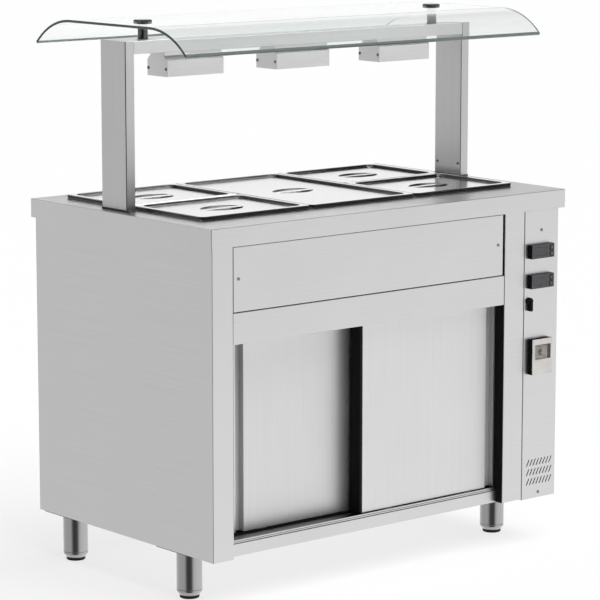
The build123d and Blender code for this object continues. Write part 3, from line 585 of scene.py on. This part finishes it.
class BAIN_MARIE_OT_pans(bpy.types.Operator):
    """Press the gastronorm pans"""

    bl_idname = "bain_marie.pans"
    bl_label = "Pans"

    def execute(self, context):
        settings = context.scene.bain_marie_pans
        for place in PANS:
            self.press(f"{place}_pan", settings)
        return {"FINISHED"}

    def press(self, node, settings):
        low, high = corners(node)
        centre = (low + high).xy / 2
        width, length = high.x - low.x, high.y - low.y
        bottom, top = low.z, high.z
        sheet = settings.sheet
        outer = (width, length)
        tub = (width - 0.022, length - 0.022)
        flange = top - settings.rim

        def ring(size, inset, corner, height):
            return (rounded_outline(centre, size[0] - 2 * inset, size[1] - 2 * inset, corner), height)

        rings = [
            ring(tub, 0.016, 0.008, bottom + sheet),
            ring(tub, 0.008, 0.014, bottom + sheet + 0.002),
            ring(tub, 0.003, 0.019, bottom + sheet + 0.008),
            ring(tub, sheet, 0.021, bottom + sheet + 0.016),
            ring(tub, sheet, 0.021, flange - 0.003),
            ring(tub, sheet - 0.0006, 0.022, flange - 0.0004),
            ring(tub, -0.0008, 0.023, flange + sheet),
            ring(outer, settings.rim + 0.0008, settings.corner - 0.003, flange + sheet),
            ring(outer, settings.rim, settings.corner - 0.002, flange + sheet + 0.0006),
            ring(outer, settings.rim - 0.0003, settings.corner - 0.002, top - 0.0008),
            ring(outer, settings.rim - 0.0012, settings.corner - 0.001, top),
            ring(outer, 0.0012, settings.corner - 0.001, top),
            ring(outer, 0.0003, settings.corner, top - 0.0008),
            ring(outer, 0.0, settings.corner, top - 0.0018),
            ring(outer, 0.0, settings.corner, flange),
            ring(tub, 0.0, 0.022, flange),
            ring(tub, 0.0, 0.022, bottom + 0.017),
            ring(tub, 0.002, 0.02, bottom + 0.008),
            ring(tub, 0.007, 0.015, bottom + 0.002),
            ring(tub, 0.015, 0.009, bottom),
        ]
        bm = pressed_shape(rings, close=True)
        # Painted shade and reflection: the outside of the rim, below its top, gets the dark rim finish.
        paint(bm, lambda face, middle: past_side(middle, centre, outer) > -0.0008 and middle.z < top - 0.0006)
        new_piece(f"{node}_pressed", bm, node, [node], ["pan_steel", "rim_painted_shade"])


class BAIN_MARIE_OT_lids(bpy.types.Operator):
    """Press the lids with their dishes, and lay a handle bar across each"""

    bl_idname = "bain_marie.lids"
    bl_label = "Pan lids"

    def execute(self, context):
        settings = context.scene.bain_marie_pans
        for place in PANS:
            self.press(f"{place}_lid", settings)
        return {"FINISHED"}

    def press(self, node, settings):
        low, high = corners(node)
        centre = (low + high).xy / 2
        size = (high.x - low.x, high.y - low.y)
        top = high.z
        panel = top - settings.panel_drop
        floor = panel - settings.dish_depth
        guide = rounded_outline(centre, size[0] - 2 * settings.border, size[1] - 2 * settings.border, 0.02)
        mouth = settings.dish

        def oval(grow, height):
            outline = oval_outline(centre, mouth[0] + 2 * grow, mouth[1] + 2 * grow, guide, size)
            return (outline, height)

        def ring(inset, corner, height):
            return (rounded_outline(centre, size[0] - 2 * inset, size[1] - 2 * inset, corner), height)

        border = settings.border
        rings = [
            oval(-0.025, floor), oval(-0.017, floor + 0.0006), oval(-0.0115, floor + 0.003),
            oval(-0.0075, floor + 0.0072), oval(-0.0045, floor + 0.0118), oval(-0.0018, floor + 0.0152),
            oval(0.0006, floor + 0.0166), oval(0.0028, panel), oval(0.009, panel),
            ring(border + 0.005, 0.017, panel), ring(border + 0.0022, 0.019, panel + 0.0004),
            ring(border + 0.0008, 0.0205, panel + 0.0018), ring(border + 0.0002, 0.021, top - 0.0022),
            ring(border - 0.0008, 0.0215, top - 0.0006), ring(border - 0.0026, 0.022, top),
            ring(0.003, settings.corner - 0.002, top), ring(0.0011, settings.corner - 0.0008, top - 0.0004),
            ring(0.0002, settings.corner, top - 0.0014), ring(0.0, settings.corner, top - 0.0026),
            ring(0.0, settings.corner, top - settings.skirt),
        ]

        # Painted shade and reflection: the skirt gets the dark rim finish, and every steep wall of the folds
        # and the dish gets the dark press finish; flat faces keep the lid's steel.
        def finish_of(face, middle):
            if past_side(middle, centre, size) > -0.0007:
                return middle.z < top - 0.001
            return 2 if abs(face.normal.z) < 0.93 else 0

        bm = pressed_shape(rings)
        paint(bm, finish_of)
        handle = soft_block((-mouth[0] / 2 - 0.001, -0.008, panel - 0.003),
                            (mouth[0] / 2 + 0.001, 0.008, panel - 0.0001), 0.0012, 3)
        moved_into(bm, handle, Matrix.Translation((*centre, 0.0)))
        piece = new_piece(f"{node}_pressed", bm, node, [node],
                          ["lid_steel", "rim_painted_shade", "press_painted_reflection"])
        thickness = piece.modifiers.new("sheet", "SOLIDIFY")
        thickness.thickness = settings.sheet
        thickness.offset = -1.0


class BAIN_MARIE_OT_gantry(bpy.types.Operator):
    """Build the two posts, with the narrow notch down each front corner painted dark as shade, and the beam
    """

    bl_idname = "bain_marie.gantry"
    bl_label = "Gantry"

    def execute(self, context):
        for side in ("left", "right"):
            node = f"{side}_post"
            low, high = corners(node)

            # Painted shade: faces in the notch down the post's front corner get the dark notch finish.
            def in_groove(face, middle, low=low):
                return middle.x < low.x + 0.0011 and middle.y < low.y + 0.0021

            folded_piece(context, node, "cabinet", ["brushed_steel_z", f"{side}_groove_painted_shade"],
                         0.001, 0.0003, in_groove)
            gasket = soft_block((low.x - 0.0012, low.y - 0.0012, low.z),
                                (high.x + 0.0012, high.y + 0.0012, low.z + 0.0045), 0.001)
            new_piece(f"{node}_gasket", gasket, "cabinet", [], ["gasket_rubber"])
        folded_piece(context, "top_beam", "cabinet", ["brushed_steel_x"], 0.001)
        return {"FINISHED"}


class BAIN_MARIE_OT_lamps(bpy.types.Operator):
    """Fold the lamp hoods and fit their quartz tubes"""

    bl_idname = "bain_marie.lamps"
    bl_label = "Heat lamps"

    def execute(self, context):
        for side in LAMPS:
            folded_piece(context, f"{side}_lamp_hood", "cabinet", ["brushed_steel_x"], 0.001)
            low, high = corners(f"{side}_lamp_hood")
            self.tube(side, low, high)
        return {"FINISHED"}

    def tube(self, side, low, high):
        tube_low, tube_high = corners("lamp_tubes")
        radius = (tube_high.z - tube_low.z) / 2
        height = (tube_high.z + tube_low.z) / 2
        middle = (low + high) / 2
        half = (high.x - low.x) / 2 - 0.0015
        profile = [(0.0, -half), (radius, -half), (radius, -half + 0.018), (radius * 0.8, -half + 0.02),
                   (radius * 0.8, half - 0.02), (radius, half - 0.018), (radius, half), (0.0, half)]
        bm = turned_shape(profile, 24)
        paint(bm, lambda face, middle: abs(middle.z) > half - 0.019)
        place = Matrix.Translation((middle.x, middle.y, height)) @ Matrix.Rotation(pi / 2, 4, "Y")
        bmesh.ops.transform(bm, matrix=place, verts=bm.verts)
        nodes = ["lamp_tubes"] if side == "middle" else []
        new_piece(f"{side}_lamp_tube", bm, "cabinet", nodes, ["lamp_quartz", "pale_plastic"])


class BAIN_MARIE_OT_glass_guard(bpy.types.Operator):
    """Bend the glass guard and set it on its clamps"""

    bl_idname = "bain_marie.glass_guard"
    bl_label = "Glass guard"

    def execute(self, context):
        settings = context.scene.bain_marie_glass
        low, high = corners("glass_guard")
        centre_y = (low.y + high.y) / 2
        angle = asin(settings.reach / settings.bend)
        bm = bmesh.new()
        starts = []
        for side in (-1, 1):
            edge_y = centre_y + side * settings.flat / 2
            ends = [bm.verts.new((low.x, edge_y, high.z - depth)) for depth in (0.0, settings.thickness)]
            start = bm.edges.new(ends)
            starts.append(start)
            bmesh.ops.spin(bm, geom=ends + [start], cent=(low.x, edge_y, high.z - settings.bend),
                           axis=(1, 0, 0), dvec=(0, 0, 0), angle=-side * angle, steps=24,
                           use_merge=False, use_duplicate=False)
        bmesh.ops.bridge_loops(bm, edges=starts)
        section = bm.faces[:]
        grown = bmesh.ops.extrude_face_region(bm, geom=section)["geom"]
        far = [item for item in grown if isinstance(item, bmesh.types.BMVert)]
        bmesh.ops.translate(bm, vec=(high.x - low.x, 0, 0), verts=far)
        bmesh.ops.recalc_face_normals(bm, faces=bm.faces)
        bevel(bm, sharp_edges(bm, 60), 0.0009)

        def finish_of(face, middle):
            if abs(face.normal.x) > 0.3:
                return 1
            if abs(middle.y - centre_y) > (high.y - low.y) / 2 - 0.006 and not is_wide(face, 0.0075):
                return 2 if middle.y < centre_y else 3
            return 0

        paint(bm, finish_of)
        new_piece("glass_guard_bent", bm, "cabinet", ["glass_guard"],
                  ["guard_glass", "guard_edge", "guard_front_tip", "guard_back_tip"], 20.0)
        self.clamps()
        return {"FINISHED"}

    def clamps(self):
        low, high = corners("glass_clamps")
        middle_y = (low.y + high.y) / 2
        glass_top = corners("glass_guard")[1].z
        bm = bmesh.new()
        wide = (high.y - low.y) / 2
        for centre_x in (low.x + wide, high.x - wide):
            spacer = turned_shape([(0.0, low.z), (0.0122, low.z), (0.013, low.z + 0.0008),
                                   (0.013, low.z + 0.0025), (0.0118, low.z + 0.003),
                                   (0.0118, glass_top - 0.0095), (0.013, glass_top - 0.009),
                                   (0.013, glass_top - 0.0068), (0.0125, glass_top - 0.006),
                                   (0.0, glass_top - 0.006)])
            cap = turned_shape([(0.0, glass_top), (wide - 0.0004, glass_top), (wide, glass_top + 0.0006),
                                (wide, glass_top + 0.003), (wide - 0.0012, high.z - 0.0004),
                                (wide - 0.003, high.z), (0.0, high.z)])
            place = Matrix.Translation((centre_x, middle_y, 0))
            moved_into(bm, spacer, place)
            moved_into(bm, cap, place)
        new_piece("glass_clamps_turned", bm, "cabinet", ["glass_clamps"], ["clamp_steel"])


class BAIN_MARIE_OT_controls(bpy.types.Operator):
    """Fit the thermostats with their keys and displays, and the main switch"""

    bl_idname = "bain_marie.controls"
    bl_label = "Controls"

    def execute(self, context):
        for name in THERMOSTATS:
            node = f"{name}_thermostat"
            low, high = corners(node)

            # Painted shade: the housing's two sides get the black finish, darker than its front, for the
            # shade on them.
            def at_side(face, middle, low=low, high=high):
                return min(middle.x - low.x, high.x - middle.x) < 0.0006

            folded_piece(context, node, "cabinet", ["housing_plastic", "matt_black_and_painted_shade"],
                         0.0012, 0.0005, at_side)
            self.display(name, low, high)
            for key, turn in (("up", 1), ("down", -1)):
                self.key(f"{node}_{key}_key", turn)
        self.knob()
        return {"FINISHED"}

    def display(self, name, low, high):
        middle = (low.z + high.z) / 2
        glass = soft_block((low.x + 0.0062, low.y + 0.0003, middle - 0.0098),
                           (low.x + 0.0498, low.y + 0.0011, middle + 0.0098), 0.0002)
        new_piece(f"{name}_thermostat_display", glass, "cabinet", [], ["display_glass"])

    def key(self, node, turn):
        low, high = corners(node)
        bm = soft_block(low, high, 0.0008, 3)
        mark = bmesh.new()
        bmesh.ops.create_circle(mark, cap_ends=True, segments=3, radius=0.0026)
        grown = bmesh.ops.extrude_face_region(mark, geom=mark.faces[:])["geom"]
        raised = [item for item in grown if isinstance(item, bmesh.types.BMVert)]
        bmesh.ops.translate(mark, vec=(0, 0, 0.0002), verts=raised)
        bmesh.ops.recalc_face_normals(mark, faces=mark.faces)
        centre = (low + high) / 2
        place = (Matrix.Translation((centre.x, low.y + 0.00015, centre.z)) @ Matrix.Rotation(pi / 2, 4, "X")
                 @ Matrix.Rotation(0.0 if turn > 0 else pi, 4, "Z"))
        moved_into(bm, mark, place, 1)
        new_piece(f"{node}_moulded", bm, node, [node], ["key_plastic", "mark_paint"])

    def knob(self):
        low, high = corners("switch_knob")
        hub_x, hub_z = (low.x + high.x) / 2, high.z - 0.009
        face_y = -0.3418
        bm = turned_shape([(0.0, 0.0), (0.0088, 0.0), (0.009, 0.0004), (0.009, 0.0056), (0.0082, 0.0068),
                           (0.0068, 0.0072), (0.0, 0.0072)])
        place = Matrix.Translation((hub_x, face_y, hub_z)) @ Matrix.Rotation(pi / 2, 4, "X")
        bmesh.ops.transform(bm, matrix=place, verts=bm.verts)
        half = 0.004
        grip = soft_block((hub_x - half, low.y, low.z), (hub_x + half, face_y, hub_z + half), 0.0014, 3)
        moved_into(bm, grip, Matrix.Identity(4))
        new_piece("switch_knob_moulded", bm, "switch_knob", ["switch_knob"],
                  ["matt_black_and_painted_shade"])


class BAIN_MARIE_OT_breaker(bpy.types.Operator):
    """Fit the circuit breaker, its box and the flap in front of it"""

    bl_idname = "bain_marie.breaker"
    bl_label = "Breaker"

    def execute(self, context):
        folded_piece(context, "breaker_box", "cabinet", ["matt_black_and_painted_shade"], 0.001, 0.0004)
        folded_piece(context, "circuit_breaker", "cabinet", ["pale_plastic"], 0.0008, 0.0004)
        folded_piece(context, "breaker_toggle", "breaker_toggle", ["black_plastic"],
                     0.0004, 0.0003)
        self.flap()
        return {"FINISHED"}

    def flap(self):
        low, high = corners("breaker_window")
        bm = plain_block(low, high)
        pane = (low.x + 0.008, high.x - 0.004, low.z + 0.036, high.z - 0.013)
        for point, normal in (((pane[0], 0, 0), (1, 0, 0)), ((pane[1], 0, 0), (1, 0, 0)),
                              ((0, 0, pane[2]), (0, 0, 1)), ((0, 0, pane[3]), (0, 0, 1))):
            bmesh.ops.bisect_plane(bm, geom=bm.verts[:] + bm.edges[:] + bm.faces[:], dist=1e-6,
                                   plane_co=point, plane_no=normal)
        middles = {face: face.calc_center_median() for face in bm.faces if abs(face.normal.y) > 0.9}
        inside = [face for face, middle in middles.items()
                  if pane[0] < middle.x < pane[1] and pane[2] < middle.z < pane[3]]
        for face in inside:
            sunk = bmesh.ops.inset_region(bm, faces=[face], thickness=0.0012, depth=-0.0004,
                                          use_even_offset=True)
            face.material_index = 1
            for side in sunk["faces"]:
                side.material_index = 0
        bevel(bm, sharp_edges(bm, 60), 0.0003)
        new_piece("breaker_flap", bm, "breaker_window", ["breaker_window"],
                  ["pale_plastic", "window_glass"])


class BAIN_MARIE_OT_legs(bpy.types.Operator):
    """Turn the legs and their adjustable feet"""

    bl_idname = "bain_marie.legs"
    bl_label = "Legs and feet"

    def execute(self, context):
        plate_bottom = corners("legs")[1].z - 0.0041

        # Painted shade: the plates on top of the legs, under the cabinet, get the dark plate finish.
        folded_piece(context, "legs", "cabinet", ["leg_steel", "plate_painted_shade"],
                     0.0004, 0.0003, lambda face, middle: middle.z > plate_bottom)
        for place in LEGS:
            node = f"{place}_foot"
            low, high = corners(node)
            centre = (low + high) / 2
            bm = turned_shape([
                (0.0, 0.0), (0.0215, 0.0), (0.0228, 0.0012), (0.023, 0.0075), (0.0234, 0.0082),
                (0.0262, 0.0112), (0.0285, 0.0138), (0.0297, 0.0155), (0.03, 0.0172), (0.03, 0.0207),
                (0.0294, 0.0213), (0.0294, 0.0216), (0.02844, 0.0217), (0.02844, high.z - 0.001),
                (0.0275, high.z), (0.0, high.z)], 64)
            paint(bm, lambda face, middle: middle.z < 0.0076)
            bmesh.ops.translate(bm, vec=(centre.x, centre.y, 0), verts=bm.verts)
            new_piece(f"{node}_turned", bm, node, [node], ["leg_steel", "rubber"])
        return {"FINISHED"}


class BAIN_MARIE_OT_drain(bpy.types.Operator):
    """Finish the drain valve, its lever and the cable gland"""

    bl_idname = "bain_marie.drain"
    bl_label = "Drain and gland"

    def execute(self, context):
        folded_piece(context, "drain_valve", "cabinet", ["valve_brass"], 0.001, 0.0005)
        folded_piece(context, "drain_lever", "drain_lever", ["leg_steel"], 0.0008, 0.0004)
        folded_piece(context, "cable_gland", "cabinet", ["black_plastic"], 0.0008, 0.0004)
        return {"FINISHED"}


class BAIN_MARIE_OT_screws(bpy.types.Operator):
    """Turn the domed screw heads with their hexagon sockets"""

    bl_idname = "bain_marie.screws"
    bl_label = "Screws"

    def execute(self, context):
        bm = bmesh.new()
        for place, finish_index in self.places():
            moved_into(bm, self.head(), place, finish_index)
        new_piece("screw_heads", bm, "cabinet", ["screws"], ["leg_steel", "side_screw_painted_shade"])
        return {"FINISHED"}

    def head(self):
        """One head, with its socket first and its rim last."""
        circle = [Vector((cos(radians(15 * step)), sin(radians(15 * step)))) for step in range(24)]
        hexagon = [point * (cos(radians(30)) / cos(radians(15 * step % 60 - 30)))
                   for step, point in enumerate(circle)]
        rings = [([point * radius for point in outline], height) for outline, radius, height in (
            (hexagon, 0.0018, 0.0007), (hexagon, 0.0018, 0.0016), (circle, 0.0024, 0.0018),
            (circle, 0.0032, 0.0015), (circle, 0.0038, 0.0009), (circle, 0.004, 0.0))]
        return pressed_shape(rings)

    def places(self):
        """Where the heads stand, and which way they face, read from the CAD node's loose parts."""
        bm = merged_copy("screws")
        inner_face = corners("left_post")[1].x
        found = []
        left = set(bm.verts)
        while left:
            island, queue = set(), [left.pop()]
            while queue:
                vert = queue.pop()
                island.add(vert)
                for edge in vert.link_edges:
                    other = edge.other_vert(vert)
                    if other in left:
                        left.remove(other)
                        queue.append(other)
            points = [vert.co for vert in island]
            low = Vector([min(point[axis] for point in points) for axis in range(3)])
            high = Vector([max(point[axis] for point in points) for axis in range(3)])
            middle, size = (low + high) / 2, high - low
            # Painted shade: heads that face sideways, on the posts and the lamp hoods, get the darker screw
            # finish; heads that face the front keep the leg steel.
            if size.y < size.x:
                base, turn, axis, finish_index = (middle.x, high.y, middle.z), pi / 2, "X", 0
            elif abs(low.x - inner_face) < 0.001:
                base, turn, axis, finish_index = (low.x, middle.y, middle.z), pi / 2, "Y", 1
            else:
                base, turn, axis, finish_index = (high.x, middle.y, middle.z), -pi / 2, "Y", 1
            found.append((Matrix.Translation(base) @ Matrix.Rotation(turn, 4, axis), finish_index))
        bm.free()
        return found


class BAIN_MARIE_OT_studio(bpy.types.Operator):
    """Lay the pale floor, and set the camera and the light"""

    bl_idname = "bain_marie.studio"
    bl_label = "Studio"

    def execute(self, context):
        settings = context.scene.bain_marie_stage
        self.floor(context, settings)
        self.world(context, settings)
        self.lamp(context, settings)
        self.camera(context, settings)
        context.scene.view_settings.view_transform = "Standard"
        return {"FINISHED"}

    def floor(self, context, settings):
        bm = bmesh.new()
        bmesh.ops.create_grid(bm, x_segments=1, y_segments=1, size=20.0)
        mesh = bpy.data.meshes.new("studio_floor")
        bm.to_mesh(mesh)
        bm.free()
        paper, shader, nodes, links = new_finish("studio_paper")
        shader.inputs["Base Color"].default_value = (0.9, 0.9, 0.9, 1.0)
        shader.inputs["Roughness"].default_value = 0.9
        white = nodes.new("ShaderNodeEmission")
        rays = nodes.new("ShaderNodeLightPath")
        share = nodes.new("ShaderNodeMath")
        share.operation = "MULTIPLY"
        share.inputs[1].default_value = settings.floor_white
        mix = nodes.new("ShaderNodeMixShader")
        links.new(rays.outputs["Is Camera Ray"], share.inputs[0])
        links.new(share.outputs["Value"], mix.inputs["Fac"])
        links.new(shader.outputs["BSDF"], mix.inputs[1])
        links.new(white.outputs["Emission"], mix.inputs[2])
        links.new(mix.outputs["Shader"], nodes["Material Output"].inputs["Surface"])
        mesh.materials.append(paper)
        floor = bpy.data.objects.new("studio_floor", mesh)
        floor.visible_glossy = False
        context.scene.collection.objects.link(floor)

    def world(self, context, settings):
        """Light that grows from left to right, with a dark ceiling and entrance, on a white background."""
        world = bpy.data.worlds.new("studio_light")
        context.scene.world = world
        world.use_nodes = True
        nodes, links = world.node_tree.nodes, world.node_tree.links
        direction = nodes.new("ShaderNodeTexCoord").outputs["Generated"]
        rays = nodes.new("ShaderNodeLightPath").outputs

        def along(axis):
            dot = nodes.new("ShaderNodeVectorMath")
            dot.operation = "DOT_PRODUCT"
            dot.inputs[1].default_value = axis
            links.new(direction, dot.inputs[0])
            return dot.outputs["Value"]

        def fade(value, start, end, first, last):
            step = nodes.new("ShaderNodeMapRange")
            step.interpolation_type = "SMOOTHSTEP"
            limits = (("From Min", start), ("From Max", end), ("To Min", first), ("To Max", last))
            for socket, number in limits:
                step.inputs[socket].default_value = number
            links.new(value, step.inputs["Value"])
            return step.outputs["Result"]

        def joined(operation, first, second):
            node = nodes.new("ShaderNodeMath")
            node.operation = operation
            links.new(first, node.inputs[0])
            links.new(second, node.inputs[1])
            return node.outputs["Value"]

        across = fade(along((1.0, 0.0, 0.0)), -0.9, 0.7, settings.dim_side, settings.bright_side)
        ceiling = fade(along((0.0, -0.25, 1.0)), 0.1, 0.38, 1.0, settings.dark_ceiling)
        entrance = fade(along((-0.64, -0.76, -0.1)), 0.75, 0.95, 1.0, settings.dark_ceiling)
        strength = nodes.new("ShaderNodeMix")
        strength.data_type = "FLOAT"
        strength.inputs["B"].default_value = 1.0
        seen = joined("MAXIMUM", rays["Is Camera Ray"], rays["Is Transmission Ray"])
        links.new(seen, strength.inputs["Factor"])
        links.new(joined("MULTIPLY", joined("MULTIPLY", across, ceiling), entrance), strength.inputs["A"])
        links.new(strength.outputs["Result"], nodes["Background"].inputs["Strength"])
        nodes["Background"].inputs["Color"].default_value = (1.0, 1.0, 1.0, 1.0)

    def lamp(self, context, settings):
        light = bpy.data.lights.new("overhead_softbox", "SUN")
        light.angle = radians(60)
        light.energy = settings.overhead
        overhead = bpy.data.objects.new("overhead_softbox", light)
        overhead.location = (0.8, -1.2, 3.6)
        aim = Vector((0, 0, 0.7)) - overhead.location
        overhead.rotation_euler = aim.to_track_quat("-Z", "Y").to_euler()
        overhead.visible_glossy = False
        context.scene.collection.objects.link(overhead)

    def camera(self, context, settings):
        lens = bpy.data.cameras.new("studio_camera")
        lens.lens = settings.lens
        lens.sensor_width = 36.0
        lens.clip_end = 100.0
        camera = bpy.data.objects.new("studio_camera", lens)
        camera.location = settings.camera_place
        camera.rotation_euler = (pi / 2 - settings.camera_down, 0.0, -settings.camera_turn)
        context.scene.collection.objects.link(camera)
        context.scene.camera = camera


OPERATORS = (
    BAIN_MARIE_OT_cabinet, BAIN_MARIE_OT_worktop, BAIN_MARIE_OT_cupboard, BAIN_MARIE_OT_doors,
    BAIN_MARIE_OT_well, BAIN_MARIE_OT_pans, BAIN_MARIE_OT_lids, BAIN_MARIE_OT_gantry,
    BAIN_MARIE_OT_lamps, BAIN_MARIE_OT_glass_guard, BAIN_MARIE_OT_controls, BAIN_MARIE_OT_breaker,
    BAIN_MARIE_OT_legs, BAIN_MARIE_OT_drain, BAIN_MARIE_OT_screws, BAIN_MARIE_OT_studio,
)


class BAIN_MARIE_PT_counter(bpy.types.Panel):
    """Steps that dress the bain-marie"""

    bl_idname = "BAIN_MARIE_PT_counter"
    bl_label = "Bain-marie counter"
    bl_space_type = "VIEW_3D"
    bl_region_type = "UI"
    bl_category = "Bain-marie"

    def draw(self, context):
        for settings in (context.scene.bain_marie_steel, context.scene.bain_marie_pans,
                         context.scene.bain_marie_glass, context.scene.bain_marie_controls,
                         context.scene.bain_marie_stage):
            box = self.layout.box()
            for setting in settings.bl_rna.properties:
                if not setting.is_readonly and setting.identifier != "name":
                    box.prop(settings, setting.identifier)
        for operator in OPERATORS:
            self.layout.operator(operator.bl_idname)


SETTINGS = {
    "bain_marie_steel": SteelSettings, "bain_marie_pans": PanSettings, "bain_marie_glass": GlassSettings,
    "bain_marie_controls": ControlSettings, "bain_marie_stage": StageSettings,
}


def register():
    for name, group in SETTINGS.items():
        bpy.utils.register_class(group)
        setattr(bpy.types.Scene, name, bpy.props.PointerProperty(type=group))
    for operator in OPERATORS:
        bpy.utils.register_class(operator)
    bpy.utils.register_class(BAIN_MARIE_PT_counter)


def unregister():
    bpy.utils.unregister_class(BAIN_MARIE_PT_counter)
    for operator in reversed(OPERATORS):
        bpy.utils.unregister_class(operator)
    for name, group in SETTINGS.items():
        delattr(bpy.types.Scene, name)
        bpy.utils.unregister_class(group)


def main():
    register()
    build_finishes(bpy.context.scene)
    for operator in OPERATORS:
        group, name = operator.bl_idname.split(".")
        getattr(getattr(bpy.ops, group), name)()


if __name__ == "__main__":
    main()
